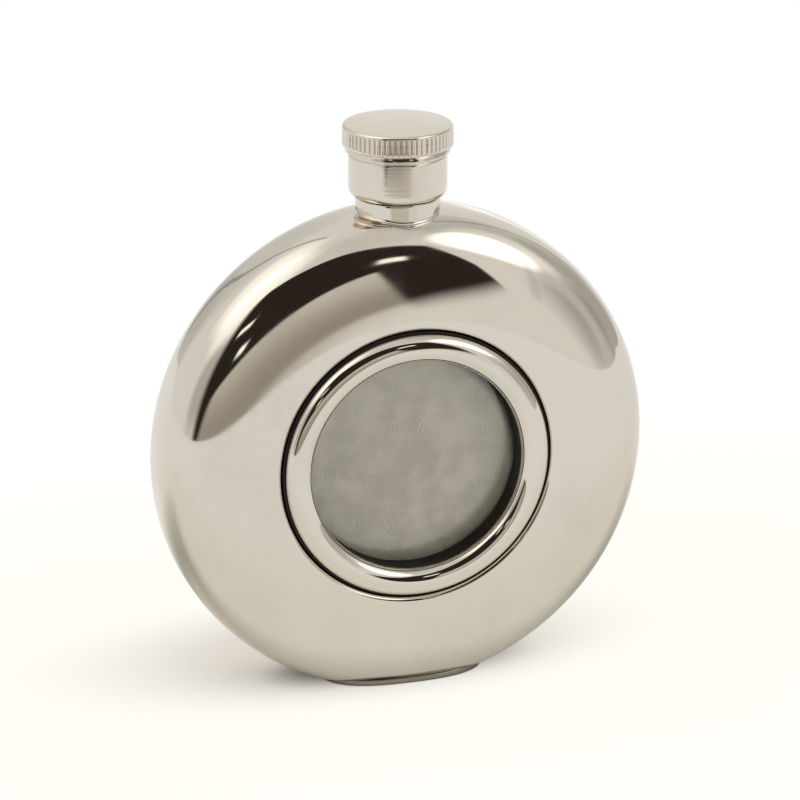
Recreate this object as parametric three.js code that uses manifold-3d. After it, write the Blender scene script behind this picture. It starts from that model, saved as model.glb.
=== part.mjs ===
// Round hip flask: two pressed half shells on an oval foot, a neck with a saddle collar,
// a knurled screw cap with liner and seal, and a glazed recess in the middle of the front.
// Millimetres, +Z up. The origin is the middle of the foot's underside; the window faces -Y.

import * as THREE from 'three';
import { mergeVertices } from 'three/addons/utils/BufferGeometryUtils.js';
import Module from 'manifold-3d';

const wasm = await Module();
wasm.setup();

// Body: a round pill whose flat faces turn over into the rim along a squared-off curve
const BODY_RADIUS = 47.5;
const SHOULDER_START = 25; // radius where the face begins to turn over
const SHOULDER_DEPTH = 12.2; // mid-plane to the face, without the crown
const SHOULDER_POWER = 3; // 2 would be an ellipse, higher is squarer
const FACE_CROWN = 0.4; // extra depth in the middle of a face
const SHELL_WALL = 0.7;
const FOOT_CUT = 3.5; // how much of the round is sliced off for the foot
const BASE_THICKNESS = 1;
const BASE_OVERHANG = 0.5; // foot plate past the sliced outline
const BASE_EDGE = 0.2; // broken edge of the foot plate

// Window: bezel, gasket, glass and plate stacked in a well that is joined to the front shell
const WINDOW_RADIUS = 20.55;
const BEZEL_WIDTH = 5.1;
const BEZEL_BASE = 0.35; // straight part under the half-round crown
const BEZEL_CROWN = 1.75;
const BEZEL_TONGUE_WIDTH = 0.8;
const BEZEL_TONGUE_DEPTH = 1.2;
const LIP_ROUND = 1; // rolled edge of the shell's opening
const LIP_DEPTH = 4; // turned-in flange, measured from the face
const GROOVE_WIDTH = 0.75; // between the bezel and the lip
const GROOVE_DEPTH = 0.45; // from the face down to the gasket between lip and bezel
const GASKET_FLANGE = 1.2;
const GASKET_DEPTH = 4.35; // from the bezel's seat to the glass
const GASKET_TAPER = 0.2; // how much the sleeve closes in towards the glass
const GASKET_FOOT = 0.5; // rounded foot of the sleeve on the glass
const GLASS_THICKNESS = 2;
const GLASS_EDGE = 0.3;
const PLATE_THICKNESS = 0.8;
const WELL_WALL = 0.7;
const WELL_ROUND = 0.8; // inside corner of the well

// Neck
const NECK_BORE = 5.6;
const NECK_WALL = 1;
const NECK_RISE = 10.8; // mouth above the collar
const NECK_REACH = 5; // end of the tube below the body's top
const NECK_EDGE = 0.4; // outside edge of the mouth
const COLLAR_WALL = 1.05;
const COLLAR_RISE = 1.7; // above the body's top
const COLLAR_EDGE = 0.25;
const COLLAR_FLANGE = 0.45; // saddle flange past the collar
const COLLAR_FLANGE_HEIGHT = 0.5; // above the body's skin, all round

// Cap
const THREAD_ROOM = 0.9; // between the neck and the liner, filled by the two threads
const LINER_WALL = 0.8;
const LINER_TOP = 0.7;
const SEAL_THICKNESS = 1;
const CAP_WALL = 0.6;
const CAP_MOUTH = 0.1; // rolled-in mouth outside the liner's bore
const CAP_ROLL = 1.6; // height of the rolled-in lower edge
const CAP_TOP_WALL = 0.9;
const CAP_CROWN = 0.4; // dome of the top
const CAP_ROUND = 0.35; // edge between the top and the knurl
const HEAD_STEP = 0.75; // knurl's root outside the skirt
const HEAD_UNDERCUT = 0.15; // slope of the knurl's lower end
const WAIST_STEP = 0.2; // waist between knurl and flare, outside the skirt
const FLARE_STEP = 0.6; // flared edge under the waist, outside the skirt
const FLARE_HEIGHT = 1.05;
const FLARE_BULGE = 0.08;
const FLARE_EDGE = 0.1;
const HEAD_GROOVE = 0.55; // undercut between the flare and the skirt
const HEAD_GROOVE_DEPTH = 0.2;
const SKIRT_RIM = 0.45; // rounded upper rim of the skirt
const KNURL_COUNT = 64;
const KNURL_LENGTH = 3.4;
const KNURL_HEIGHT = 0.35;
const KNURL_WIDTH = 0.55;
const KNURL_SLOPE = 0.5; // run-out at each end of a ridge

// Fits and facets
const FIT_GAP = 0.3; // round fits, and pieces cut to a neighbour's shape
const BODY_SIDES = 60;
const RING_SIDES = 48;
const NECK_SIDES = 40;
const SHOULDER_STEPS = 7;
const ROUND_STEPS = 3;
const CROWN_STEPS = 8;

// Heights worked out from the ground up
const sliceRadius = BODY_RADIUS - FOOT_CUT;
const centreHeight = BASE_THICKNESS + sliceRadius;
const bodyTop = centreHeight + BODY_RADIUS;
const collarTop = bodyTop + COLLAR_RISE;
const capBottom = collarTop + FIT_GAP;
const neckTop = collarTop + NECK_RISE;
const sealTop = neckTop + SEAL_THICKNESS;
const linerTop = sealTop + LINER_TOP;
const capCeiling = linerTop + FIT_GAP;
const capEdge = capCeiling + CAP_TOP_WALL;

// Radii about the neck's axis, from the bore outwards
const neckRadius = NECK_BORE + NECK_WALL;
const neckHole = neckRadius + FIT_GAP;
const collarRadius = neckHole + COLLAR_WALL;
const linerBore = neckRadius + THREAD_ROOM;
const linerRadius = linerBore + LINER_WALL;
const capBore = linerRadius + FIT_GAP;
const skirtRadius = capBore + CAP_WALL;
const headRadius = skirtRadius + HEAD_STEP;

// Radii about the window's axis, from the opening outwards
const bezelRadius = WINDOW_RADIUS + BEZEL_WIDTH;
const bezelMiddle = WINDOW_RADIUS + BEZEL_WIDTH / 2;
const lipRadius = bezelRadius + GROOVE_WIDTH;
const lipStart = lipRadius + LIP_ROUND;
const wellRadius = lipRadius - FIT_GAP;
const wellBore = wellRadius - WELL_WALL;
const glassRadius = wellBore - FIT_GAP;

// Places along the window's axis, from the front of the body to the back of the well
const faceFront = -skinDepth(lipStart, 0);
const bezelSeat = faceFront + GROOVE_DEPTH;
const wellRim = bezelSeat + GASKET_FLANGE;
const glassFront = bezelSeat + GASKET_DEPTH;
const plateFront = glassFront + GLASS_THICKNESS;
const wellFloor = plateFront + PLATE_THICKNESS;

/** A profile point. */
function at(radius, along) {
  return new THREE.Vector2(radius, along);
}

/** Depth of the body's skin from the mid-plane, at a radius on the face or shoulder. */
function skinDepth(radius, inset) {
  const rim = BODY_RADIUS - inset;
  const reach = Math.max(0, (radius - SHOULDER_START) / (rim - SHOULDER_START));
  const share = Math.max(0, 1 - reach ** SHOULDER_POWER);
  const crown = FACE_CROWN * (1 - (radius / rim) ** 2);
  return (SHOULDER_DEPTH - inset) * share ** (1 / SHOULDER_POWER) + crown;
}

/** Profile of the skin from a radius on the face out to the rim, as radius and depth. */
function skin(fromRadius, inset) {
  const rim = BODY_RADIUS - inset;
  const start = Math.max(fromRadius, SHOULDER_START);
  const reach = (start - SHOULDER_START) / (rim - SHOULDER_START);
  const turn = Math.asin(reach ** (SHOULDER_POWER / 2));
  const points = [];
  if (fromRadius < start) {
    points.push(at(fromRadius, skinDepth(fromRadius, inset)));
  }
  for (let step = 0; step < SHOULDER_STEPS; step += 1) {
    const angle = turn + (Math.PI / 2 - turn) * step / SHOULDER_STEPS;
    const radius = SHOULDER_START + (rim - SHOULDER_START) * Math.sin(angle) ** (2 / SHOULDER_POWER);
    points.push(at(radius, skinDepth(radius, inset)));
  }
  points.push(at(rim, 0));
  return points;
}

/** Points along an elliptic arc, both ends included; angles in quarter turns. */
function arc(centreX, centreY, radiusX, radiusY, from, to, steps) {
  const points = [];
  for (let step = 0; step <= steps; step += 1) {
    const angle = (from + (to - from) * step / steps) * Math.PI / 2;
    points.push(at(centreX + radiusX * Math.cos(angle), centreY + radiusY * Math.sin(angle)));
  }
  return points;
}

/** Turns a profile about the Y axis: a ring if it stays off the axis, with faces pointing out. */
function revolve(profile, sides) {
  const points = profile.map((point) => point.clone());
  if (THREE.ShapeUtils.area(points) < 0) {
    points.reverse();
  }
  if (points[0].x > 0) {
    points.push(points[0].clone());
  }
  return new THREE.LatheGeometry(points, sides);
}

/** Turns a profile about the window's axis. */
function aboutWindow(profile, sides) {
  return revolve(profile, sides).translate(0, 0, centreHeight);
}

/** Turns a profile about the neck's axis. */
function aboutNeck(profile, sides) {
  return revolve(profile, sides).rotateX(Math.PI / 2);
}

/** Solid for cutting and joining, with shared corners merged and empty faces dropped. */
function solid(geometry) {
  const bare = geometry.clone();
  bare.deleteAttribute('normal');
  bare.deleteAttribute('uv');
  const merged = mergeVertices(bare);
  const corners = merged.index.array;
  const faces = [];
  for (let first = 0; first < corners.length; first += 3) {
    const [a, b, c] = corners.slice(first, first + 3);
    if (a !== b && b !== c && c !== a) {
      faces.push(a, b, c);
    }
  }
  return new wasm.Manifold(new wasm.Mesh({
    numProp: 3,
    vertProperties: Float32Array.from(merged.attributes.position.array),
    triVerts: Uint32Array.from(faces),
  }));
}

/** Geometry of a finished solid. */
function surface(body) {
  const mesh = body.getMesh();
  const geometry = new THREE.BufferGeometry();
  geometry.setAttribute('position', new THREE.BufferAttribute(mesh.vertProperties, 3));
  geometry.setIndex(new THREE.BufferAttribute(mesh.triVerts, 1));
  geometry.computeVertexNormals();
  return geometry;
}

/** Cuts the foot's slice and the neck's hole from a half shell. */
function cutShell(geometry) {
  const width = 2 * BODY_RADIUS;
  const below = new THREE.BoxGeometry(width, width, width).translate(0, 0, BASE_THICKNESS - width / 2);
  const length = NECK_REACH * 2;
  const hole = new THREE.CylinderGeometry(neckHole, neckHole, length, NECK_SIDES);
  hole.rotateX(Math.PI / 2).translate(0, 0, bodyTop);
  return surface(solid(geometry).subtract(solid(below)).subtract(solid(hole)));
}

function makeFrontShell() {
  const inside = skin(lipStart, SHELL_WALL);
  const flangeRadius = lipRadius + SHELL_WALL;
  const flangeEnd = faceFront + LIP_DEPTH;
  const rollCentre = faceFront + LIP_ROUND;
  const insideRoll = Math.max(0, LIP_ROUND - SHELL_WALL);
  const profile = [
    ...skin(lipStart, 0).reverse().map((point) => at(point.x, -point.y)),
    ...arc(lipStart, rollCentre, LIP_ROUND, LIP_ROUND, 3, 2, ROUND_STEPS).slice(1),
    at(lipRadius, flangeEnd),
    at(flangeRadius, flangeEnd),
    at(lipStart - insideRoll, rollCentre),
    ...inside.map((point) => at(point.x, -point.y)),
  ];
  return cutShell(aboutWindow(profile, BODY_SIDES));
}

function makeBackShell() {
  const profile = [...skin(0, 0), ...skin(0, SHELL_WALL).reverse()];
  return cutShell(aboutWindow(profile, BODY_SIDES));
}

function makeBasePlate() {
  const halfLength = Math.sqrt(BODY_RADIUS ** 2 - sliceRadius ** 2) + BASE_OVERHANG;
  const halfDepth = skinDepth(sliceRadius, 0) + BASE_OVERHANG;
  const outline = new THREE.Shape();
  outline.absellipse(0, 0, halfLength, halfDepth, 0, 2 * Math.PI, false, 0);
  return new THREE.ExtrudeGeometry(outline, {
    depth: BASE_THICKNESS - 2 * BASE_EDGE,
    curveSegments: RING_SIDES / 2,
    bevelSize: BASE_EDGE,
    bevelOffset: -BASE_EDGE,
    bevelThickness: BASE_EDGE,
    bevelSegments: 1,
  }).translate(0, 0, BASE_EDGE);
}

function makeWell() {
  const back = wellFloor + WELL_WALL;
  const outerRound = WELL_ROUND + WELL_WALL;
  const corner = wellFloor - WELL_ROUND;
  const cornerRadius = wellBore - WELL_ROUND;
  const profile = [
    at(0, wellFloor),
    ...arc(cornerRadius, corner, WELL_ROUND, WELL_ROUND, 1, 0, ROUND_STEPS),
    at(wellBore, wellRim),
    at(wellRadius, wellRim),
    ...arc(cornerRadius, corner, outerRound, outerRound, 0, 1, ROUND_STEPS),
    at(0, back),
  ];
  return aboutWindow(profile, RING_SIDES);
}

function makeBackingPlate() {
  const radius = wellBore - WELL_ROUND;
  const profile = [at(0, plateFront), at(radius, plateFront), at(radius, wellFloor), at(0, wellFloor)];
  return aboutWindow(profile, RING_SIDES);
}

function makeGlass() {
  const profile = [
    at(0, glassFront),
    at(glassRadius - GLASS_EDGE, glassFront),
    at(glassRadius, glassFront + GLASS_EDGE),
    at(glassRadius, plateFront - GLASS_EDGE),
    at(glassRadius - GLASS_EDGE, plateFront),
    at(0, plateFront),
  ];
  return aboutWindow(profile, RING_SIDES);
}

function makeGasket() {
  const waist = WINDOW_RADIUS - GASKET_TAPER;
  const slotHalf = BEZEL_TONGUE_WIDTH / 2 + FIT_GAP;
  const slotFloor = bezelSeat + BEZEL_TONGUE_DEPTH + FIT_GAP;
  const profile = [
    at(WINDOW_RADIUS, bezelSeat),
    ...arc(waist - GASKET_FOOT, glassFront - GASKET_FOOT, GASKET_FOOT, GASKET_FOOT, 0, 1, ROUND_STEPS),
    at(glassRadius, glassFront),
    at(glassRadius, wellRim),
    at(wellRadius, wellRim),
    at(wellRadius, bezelSeat),
    at(bezelMiddle + slotHalf, bezelSeat),
    at(bezelMiddle + slotHalf, slotFloor),
    at(bezelMiddle - slotHalf, slotFloor),
    at(bezelMiddle - slotHalf, bezelSeat),
  ];
  return aboutWindow(profile, RING_SIDES);
}

function makeBezel() {
  const crownStart = bezelSeat - BEZEL_BASE;
  const tongueHalf = BEZEL_TONGUE_WIDTH / 2;
  const tongueEnd = bezelSeat + BEZEL_TONGUE_DEPTH;
  const profile = [
    ...arc(bezelMiddle, crownStart, BEZEL_WIDTH / 2, BEZEL_CROWN, 4, 2, CROWN_STEPS),
    at(WINDOW_RADIUS, bezelSeat),
    at(bezelMiddle - tongueHalf, bezelSeat),
    at(bezelMiddle - tongueHalf, tongueEnd),
    at(bezelMiddle + tongueHalf, tongueEnd),
    at(bezelMiddle + tongueHalf, bezelSeat),
    at(bezelRadius, bezelSeat),
  ];
  return aboutWindow(profile, RING_SIDES);
}

function makeNeck() {
  const profile = [
    at(NECK_BORE, bodyTop - NECK_REACH),
    at(neckRadius, bodyTop - NECK_REACH),
    ...arc(neckRadius - NECK_EDGE, neckTop - NECK_EDGE, NECK_EDGE, NECK_EDGE, 0, 1, ROUND_STEPS),
    at(NECK_BORE, neckTop),
  ];
  return aboutNeck(profile, NECK_SIDES);
}

/** Solid of the body's outline, grown by an offset, for seating pieces on its curve. */
function bodyOutline(offset) {
  const front = skin(0, -offset).map((point) => at(point.x, -point.y));
  const back = skin(0, -offset).slice(0, -1).reverse();
  return solid(aboutWindow([...front, ...back], BODY_SIDES));
}

/** A plain band on a flange that follows the body's saddle all round. */
function makeCollar() {
  const flangeRadius = collarRadius + COLLAR_FLANGE;
  const band = [
    at(neckHole, centreHeight),
    at(collarRadius, centreHeight),
    at(collarRadius, collarTop - COLLAR_EDGE),
    at(collarRadius - COLLAR_EDGE, collarTop),
    at(neckHole, collarTop),
  ];
  const disc = [
    at(neckHole, centreHeight),
    at(flangeRadius, centreHeight),
    at(flangeRadius, collarTop),
    at(neckHole, collarTop),
  ];
  const flange = solid(aboutNeck(disc, NECK_SIDES)).intersect(bodyOutline(FIT_GAP + COLLAR_FLANGE_HEIGHT));
  return surface(solid(aboutNeck(band, NECK_SIDES)).add(flange).subtract(bodyOutline(FIT_GAP)));
}

/** One straight ridge of the knurl, with sloped ends, standing on the head at +X. */
function makeRidge(bottom) {
  const root = headRadius - KNURL_HEIGHT;
  const crest = headRadius + KNURL_HEIGHT;
  const side = new THREE.Shape([
    at(root, bottom),
    at(crest, bottom + KNURL_SLOPE),
    at(crest, bottom + KNURL_LENGTH - KNURL_SLOPE),
    at(root, bottom + KNURL_LENGTH),
  ]);
  const ridge = new THREE.ExtrudeGeometry(side, { depth: KNURL_WIDTH, bevelEnabled: false });
  return ridge.translate(0, 0, -KNURL_WIDTH / 2).rotateX(Math.PI / 2);
}

function makeCapShell() {
  const knurlTop = capEdge - CAP_ROUND;
  const knurlBottom = knurlTop - KNURL_LENGTH;
  const waist = at(skirtRadius + WAIST_STEP, knurlBottom - HEAD_UNDERCUT);
  const flare = at(skirtRadius + FLARE_STEP, waist.y - FLARE_HEIGHT);
  const bulge = waist.clone().add(flare).multiplyScalar(1 / 2).addScalar(FLARE_BULGE);
  const flared = new THREE.QuadraticBezierCurve(flare, bulge, waist);
  const flareBottom = flare.y - FLARE_EDGE;
  const skirtTop = flareBottom - HEAD_GROOVE;
  const grooveRadius = skirtRadius - HEAD_GROOVE_DEPTH;
  const mouth = linerBore + CAP_MOUTH;
  const rollRadius = mouth + CAP_WALL;
  const rollTop = capBottom + CAP_ROLL;
  const domeRadius = headRadius - CAP_ROUND;
  const domeTop = capEdge + CAP_CROWN;
  const domeEdge = at(domeRadius, capEdge);
  const dome = new THREE.QuadraticBezierCurve(domeEdge, at(domeRadius / 2, domeTop), at(0, domeTop));
  const profile = [
    at(mouth, capBottom),
    ...arc(rollRadius, rollTop, skirtRadius - rollRadius, CAP_ROLL, 3, 4, ROUND_STEPS),
    ...arc(grooveRadius, skirtTop - SKIRT_RIM, HEAD_GROOVE_DEPTH, SKIRT_RIM, 0, 1, ROUND_STEPS),
    at(grooveRadius, flareBottom),
    at(flare.x - FLARE_EDGE, flareBottom),
    ...flared.getPoints(ROUND_STEPS),
    at(headRadius, knurlBottom),
    ...arc(domeRadius, knurlTop, CAP_ROUND, CAP_ROUND, 0, 1, ROUND_STEPS),
    ...dome.getPoints(ROUND_STEPS).slice(1),
    at(0, capCeiling),
    at(capBore, capCeiling),
    at(capBore, rollTop),
    at(mouth, capBottom + CAP_WALL),
  ];
  let shell = solid(aboutNeck(profile, RING_SIDES));
  const ridge = makeRidge(knurlBottom);
  for (let count = 0; count < KNURL_COUNT; count += 1) {
    const angle = (2 * count + 1) * Math.PI / KNURL_COUNT;
    shell = shell.add(solid(ridge.clone().rotateZ(angle)));
  }
  return surface(shell);
}

function makeLiner() {
  const bottom = capBottom + CAP_ROLL + FIT_GAP;
  const profile = [
    at(0, sealTop),
    at(linerBore, sealTop),
    at(linerBore, bottom),
    at(linerRadius, bottom),
    at(linerRadius, linerTop),
    at(0, linerTop),
  ];
  return aboutNeck(profile, NECK_SIDES);
}

function makeSeal() {
  const radius = linerBore - FIT_GAP;
  const profile = [at(0, neckTop), at(radius, neckTop), at(radius, sealTop), at(0, sealTop)];
  return aboutNeck(profile, NECK_SIDES);
}

/** A named piece with a finish of its own. */
function piece(name, geometry, color, roughness, metalness) {
  const material = new THREE.MeshStandardMaterial({ color, roughness, metalness });
  const mesh = new THREE.Mesh(geometry, material);
  mesh.name = name;
  return mesh;
}

const glass = piece('window_glass', makeGlass(), 0xb9c2b6, 0.05, 0);
glass.material.transparent = true;
glass.material.opacity = 0.35;

const body = new THREE.Group();
body.add(piece('front_shell', makeFrontShell(), 0xd6d1c6, 0.08, 1));
body.add(piece('back_shell', makeBackShell(), 0xd6d1c6, 0.08, 1));
body.add(piece('base_plate', makeBasePlate(), 0xcac5ba, 0.2, 1));
body.add(piece('neck_tube', makeNeck(), 0xd2cdc2, 0.15, 1));
body.add(piece('neck_collar', makeCollar(), 0xd6d1c6, 0.1, 1));

const windowStack = new THREE.Group();
windowStack.add(piece('window_well', makeWell(), 0xb8b4aa, 0.4, 1));
windowStack.add(piece('backing_plate', makeBackingPlate(), 0xa0a298, 0.5, 1));
windowStack.add(glass);
windowStack.add(piece('window_gasket', makeGasket(), 0x1a1817, 0.6, 0));
windowStack.add(piece('window_bezel', makeBezel(), 0xdad5ca, 0.06, 1));

const cap = new THREE.Group();
cap.add(piece('cap_shell', makeCapShell(), 0xd8d2c6, 0.15, 1));
cap.add(piece('cap_liner', makeLiner(), 0xe8e6df, 0.5, 0));
cap.add(piece('cap_seal', makeSeal(), 0xd9d4c8, 0.7, 0));

const flask = new THREE.Group();
flask.add(body, windowStack, cap);

export default flask;
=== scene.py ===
"""Round hip flask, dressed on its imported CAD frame.

Sizes in the classes are in millimetres, and the meshes are in metres. In a finish, the depth of a
bump is in metres and the density of a pattern in repeats per metre. The window's axis runs along Y
through the middle of the body, the window faces -Y, and the neck's axis is Z.
"""

import logging
import math
from dataclasses import dataclass, field
from enum import Enum, IntEnum
from typing import Callable, NamedTuple, Optional, Union

import bpy
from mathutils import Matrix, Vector


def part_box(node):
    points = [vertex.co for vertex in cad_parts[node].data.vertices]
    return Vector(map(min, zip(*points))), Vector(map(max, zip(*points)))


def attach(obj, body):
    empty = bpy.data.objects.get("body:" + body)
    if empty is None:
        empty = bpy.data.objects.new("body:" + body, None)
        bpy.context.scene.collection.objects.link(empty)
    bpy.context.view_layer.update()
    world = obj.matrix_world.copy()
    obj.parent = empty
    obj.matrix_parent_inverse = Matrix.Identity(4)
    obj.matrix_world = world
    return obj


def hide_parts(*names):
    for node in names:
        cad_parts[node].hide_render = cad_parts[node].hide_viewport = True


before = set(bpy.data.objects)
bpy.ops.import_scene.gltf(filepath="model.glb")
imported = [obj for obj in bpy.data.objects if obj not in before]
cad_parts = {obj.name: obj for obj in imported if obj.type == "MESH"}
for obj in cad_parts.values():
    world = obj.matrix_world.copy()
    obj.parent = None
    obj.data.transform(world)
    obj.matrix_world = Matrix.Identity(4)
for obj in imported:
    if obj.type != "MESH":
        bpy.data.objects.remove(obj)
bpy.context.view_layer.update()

LOG = logging.getLogger("flask")
MM = 0.001
TAU = 2 * math.pi
FIT_GAP = 0.3
RING_SLACK = 0.1
MERGE_DISTANCE = 1e-6
SMOOTH_ANGLE = math.radians(32)

Point = tuple[float, float]
Profile = list[Point]
Triple = tuple[float, float, float]
Colour = Triple
Piece = bpy.types.Object
Material = bpy.types.Material
Tree = bpy.types.NodeTree
Socket = bpy.types.NodeSocket
Value = Union[float, Socket]

UNIT: Point = (0, 1)
WHITE: Colour = (1, 1, 1)


class Spindle(Enum):
    """Line that a piece is turned about."""

    WINDOW = "window"
    NECK = "neck"


class Quarter(IntEnum):
    """Direction from an arc's centre, in quarter turns from pointing away from the spindle."""

    OUT = 0
    ALONG = 1
    IN = 2
    AGAINST = 3
    ROUND = 4


class Grain(Enum):
    """How a metal surface was worked."""

    BUFFED = "buffed"
    TURNED = "turned"
    SPUN = "spun"


def span(node: str, axis: int) -> Point:
    """Reads where a CAD node begins and ends.

    Args:
        node: Name of the CAD node.
        axis: 0, 1 or 2 for X, Y or Z.

    Returns:
        The lowest and the highest place along the axis, in millimetres.
    """
    low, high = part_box(node)
    return low[axis] / MM, high[axis] / MM


WINDOW_HEIGHT = sum(span("window_bezel", 2)) / 2


def metres(sizes: tuple[float, ...]) -> tuple[float, ...]:
    """Turns sizes in millimetres into metres."""
    return tuple(size * MM for size in sizes)


def toned(colour: Colour, share: float) -> Colour:
    """Makes a colour darker or lighter, up to white."""
    return tuple(min(1, part * share) for part in colour)


def heading(azimuth: float, elevation: float) -> Vector:
    """Gives the direction at an azimuth from the front and an elevation, in degrees."""
    turn, tilt = math.radians(azimuth), math.radians(elevation)
    return Vector((math.sin(turn) * math.cos(tilt), -math.cos(turn) * math.cos(tilt), math.sin(tilt)))


def flipped(profile: Profile) -> Profile:
    """Mirrors a profile to the other side of the mid-plane."""
    return [(radius, -along) for radius, along in profile]


def arc(centre: Point, radii: Union[float, Point], start: Quarter, end: Quarter, steps: int) -> Profile:
    """Draws a round or elliptic arc with both ends.

    Args:
        centre: Middle of the arc.
        radii: Radius, or half widths across and along the spindle.
        start: Direction of the first point.
        end: Direction of the last point.
        steps: Number of chords.

    Returns:
        The points of the arc.
    """
    across, along = radii if isinstance(radii, tuple) else (radii, radii)
    angles = [(start + (end - start) * step / steps) * math.pi / 2 for step in range(steps + 1)]
    return [(centre[0] + across * math.cos(a), centre[1] + along * math.sin(a)) for a in angles]


def bow(start: Point, end: Point, bulge: float, steps: int) -> Profile:
    """Draws a shallow curve between two points, bulging away from the axis.

    Args:
        start: First point.
        end: Last point.
        bulge: How far the curve's handle is moved from the middle, both out and along.
        steps: Number of chords.

    Returns:
        The points of the curve, both ends included.
    """
    handle = [(a + b) / 2 + bulge for a, b in zip(start, end)]
    points = []
    for step in range(steps + 1):
        t = step / steps
        axes = zip(start, handle, end)
        points.append(tuple((1 - t) ** 2 * a + 2 * t * (1 - t) * h + t * t * b for a, h, b in axes))
    return points


class Bench:
    """Hand tools that work on one mesh piece at a time."""

    @staticmethod
    def place(point: Point, spindle: Spindle) -> Vector:
        """Turns a profile point into a place in the frame.

        Args:
            point: Radius and place along the spindle, in millimetres.
            spindle: Line that the profile is drawn beside.

        Returns:
            The place in metres.
        """
        radius, along = point
        if spindle is Spindle.WINDOW:
            return Vector((radius, along, WINDOW_HEIGHT)) * MM
        return Vector((radius, 0, along)) * MM

    @staticmethod
    def add(primitive: Callable, **settings: object) -> Piece:
        """Adds a new object with nothing else selected.

        Args:
            primitive: Operator that adds it.
            settings: Settings of the operator.

        Returns:
            The new object.
        """
        bpy.ops.object.select_all(action="DESELECT")
        primitive(**settings)
        return bpy.context.active_object

    @staticmethod
    def take(piece: Piece) -> None:
        """Selects one piece alone and makes it the active one.

        Args:
            piece: Piece to work on.
        """
        bpy.ops.object.select_all(action="DESELECT")
        piece.select_set(True)
        bpy.context.view_layer.objects.active = piece

    @staticmethod
    def settle(piece: Piece) -> None:
        """Puts a piece's place into its mesh."""
        Bench.take(piece)
        bpy.ops.object.transform_apply(location=True, rotation=True, scale=True)

    @staticmethod
    def draw(name: str, profile: Profile, spindle: Spindle) -> Piece:
        """Draws a profile as a line of edges, by extruding one point from place to place.

        Args:
            name: Name of the new piece.
            profile: Points of the line, in order.
            spindle: Line that the profile is drawn beside.

        Returns:
            The new piece, left in edit mode with everything selected.
        """
        places = [Bench.place(point, spindle) for point in profile]
        piece = Bench.add(bpy.ops.mesh.primitive_plane_add, size=MM, location=places[0])
        piece.name = piece.data.name = name
        bpy.ops.object.mode_set(mode="EDIT")
        bpy.ops.mesh.select_mode(type="VERT")
        bpy.ops.mesh.select_all(action="SELECT")
        bpy.ops.mesh.merge(type="CENTER")
        for here, there in zip(places, places[1:]):
            bpy.ops.mesh.extrude_region_move(TRANSFORM_OT_translate={"value": there - here})
        bpy.ops.mesh.select_all(action="SELECT")
        return piece

    @staticmethod
    def close(piece: Piece) -> None:
        """Merges doubles, points the faces outwards, leaves edit mode and settles the piece.

        Args:
            piece: Piece to work on.
        """
        bpy.ops.mesh.select_all(action="SELECT")
        bpy.ops.mesh.remove_doubles(threshold=MERGE_DISTANCE)
        bpy.ops.mesh.normals_make_consistent(inside=False)
        bpy.ops.object.mode_set(mode="OBJECT")
        Bench.settle(piece)

    @staticmethod
    def modify(piece: Piece, kind: str, **settings: object) -> None:
        """Puts a modifier on a piece and applies it.

        Args:
            piece: Piece to work on.
            kind: Type of the modifier.
            settings: Settings of the modifier.
        """
        Bench.take(piece)
        modifier = piece.modifiers.new(kind.lower(), kind)
        for name, value in settings.items():
            setattr(modifier, name, value)
        bpy.ops.object.modifier_apply(modifier=modifier.name)

    @staticmethod
    def turn(name: str, profile: Profile, spindle: Spindle, steps: int) -> Piece:
        """Turns a profile into a closed solid of revolution.

        Args:
            name: Name of the new piece.
            profile: Outline of the wall; it ends on the axis or is joined back to its start.
            spindle: Line that the profile is turned about.
            steps: Number of segments round the axis.

        Returns:
            The new piece, in object mode.
        """
        ring = profile[0][0] > 0
        piece = Bench.draw(name, profile + profile[:1] if ring else profile, spindle)
        Bench.close(piece)
        bpy.context.scene.cursor.location = Bench.place((0, 0), spindle)
        bpy.ops.object.origin_set(type="ORIGIN_CURSOR")
        Bench.modify(
            piece,
            "SCREW",
            axis="Y" if spindle is Spindle.WINDOW else "Z",
            angle=TAU,
            steps=steps,
            render_steps=steps,
            use_merge_vertices=True,
            merge_threshold=MERGE_DISTANCE,
            use_smooth_shade=False,
        )
        bpy.ops.object.mode_set(mode="EDIT")
        Bench.close(piece)
        return piece

    @staticmethod
    def pick(piece: Piece, wanted: Callable[[Vector], bool]) -> None:
        """Enters edit mode with the points selected that a test wants.

        Args:
            piece: Piece to work on.
            wanted: Test of a point's place, in metres.
        """
        Bench.take(piece)
        bpy.ops.object.mode_set(mode="EDIT")
        bpy.ops.mesh.select_mode(type="VERT")
        bpy.ops.mesh.select_all(action="DESELECT")
        bpy.ops.object.mode_set(mode="OBJECT")
        for vertex in piece.data.vertices:
            vertex.select = wanted(vertex.co)
        bpy.ops.object.mode_set(mode="EDIT")

    @staticmethod
    def scale(value: Triple, centre: Triple) -> None:
        """Scales the selected points about a place and leaves edit mode."""
        bpy.ops.transform.resize(value=value, center_override=centre)
        bpy.ops.object.mode_set(mode="OBJECT")

    @staticmethod
    def combine(piece: Piece, tool: Piece, operation: str) -> None:
        """Cuts or joins a piece with a tool shape, and throws the tool away.

        Args:
            piece: Piece to work on.
            tool: Shape that is used up.
            operation: DIFFERENCE or UNION.
        """
        Bench.modify(piece, "BOOLEAN", operation=operation, object=tool, solver="EXACT")
        bpy.data.objects.remove(tool)

    @staticmethod
    def smooth(piece: Piece) -> None:
        """Shades a piece smoothly between its sharp edges."""
        Bench.take(piece)
        bpy.ops.object.shade_smooth_by_angle(angle=SMOOTH_ANGLE)


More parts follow.
